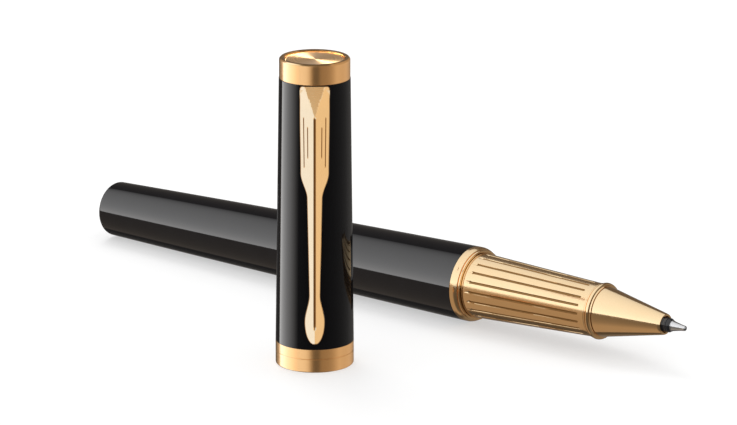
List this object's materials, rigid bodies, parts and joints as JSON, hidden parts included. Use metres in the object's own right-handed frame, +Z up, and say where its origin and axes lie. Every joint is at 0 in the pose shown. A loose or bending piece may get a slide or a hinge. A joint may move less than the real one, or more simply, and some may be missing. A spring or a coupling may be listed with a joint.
{
  "type": "rollerball pen",
  "caption": "Slim capped rollerball pen, shown open: the pen lies on its side and its cap stands beside it. Black lacquer and gold, with a fluted grip and a screw-on barrel.",
  "frame": {"origin": "centre of the cap's open mouth, on the surface that the cap stands on and the pen lies on", "axes": "+X along the lying pen towards its writing tip, +Z up, -Z out of the cap's mouth"},
  "size_m": [0.1282, 0.0492, 0.0521],
  "materials": {
    "black_lacquer": "gloss",
    "gold_plate": "polished",
    "brass": "machined",
    "steel": "fine ground",
    "spring_steel": "drawn wire",
    "ball_carbide": "polished",
    "black_plastic": "satin",
    "refill_plastic": "smooth",
    "ink_fibre": "soaked fibre",
    "feed_fibre": "bonded fibre"
  },
  "bodies": {
    "section": {"section_thread": "gold_plate", "section_core": "black_plastic", "grip_sleeve": "gold_plate", "bead_ring": "gold_plate", "nose_cone": "gold_plate"},
    "ring": {"trim_ring": "gold_plate"},
    "barrel": {"barrel_tube": "black_lacquer", "barrel_thread_insert": "brass", "spring_seat": "black_plastic", "refill_spring": "spring_steel"},
    "refill": {"refill_tube": "refill_plastic", "refill_end_plug": "black_plastic", "ink_reservoir": "ink_fibre", "ink_feed": "feed_fibre", "tip_holder": "black_plastic", "steel_point": "steel"},
    "ball": {"writing_ball": "ball_carbide"},
    "cap": {"cap_tube": "black_lacquer", "cap_lip_band": "gold_plate", "inner_cap": "black_plastic", "clutch_ring": "steel", "clip_plate": "gold_plate", "cap_top_ring": "gold_plate", "cap_top_disc": "gold_plate", "cap_top_screw": "steel"},
    "clip_arm": {"clip": "gold_plate"}
  },
  "joints": [
    {"name": "barrel_advance", "type": "slide", "parent": "section", "child": "ring", "axis": [-0.9998, 0, -0.0183], "range_m": [0, 0.0045]},
    {"name": "barrel_turn", "type": "hinge", "parent": "ring", "child": "barrel", "pos_m": [0.00528, 0.03543, 0.00656], "axis": [-0.9998, 0, -0.0183], "range_deg": [0, 2161]},
    {"name": "refill_push", "type": "slide", "parent": "section", "child": "refill", "axis": [-0.9998, 0, -0.0183], "range_m": [0, 0.0008], "stiffness_N_per_m": 300, "springref_m": -0.003, "deforming": ["refill_spring"]},
    {"name": "ball_roll", "type": "hinge", "parent": "refill", "child": "ball", "pos_m": [0.04999, 0.03543, 0.00738], "axis": [0, 1, 0], "continuous": true},
    {"name": "cap_lift", "type": "slide", "parent": "section", "child": "cap", "axis": [0, 0, 1], "range_m": [0, 0.06]},
    {"name": "clip_flex", "type": "hinge", "parent": "cap", "child": "clip_arm", "pos_m": [0.00386, -0.00453, 0.04829], "axis": [-0.7611, -0.6487, 0], "range_deg": [0, 4], "stiffness_Nm_per_rad": 2.5}
  ],
  "couplings": [
    {"joint": "barrel_turn", "follows": "barrel_advance", "rad_per_m": 8377.6}
  ]
}
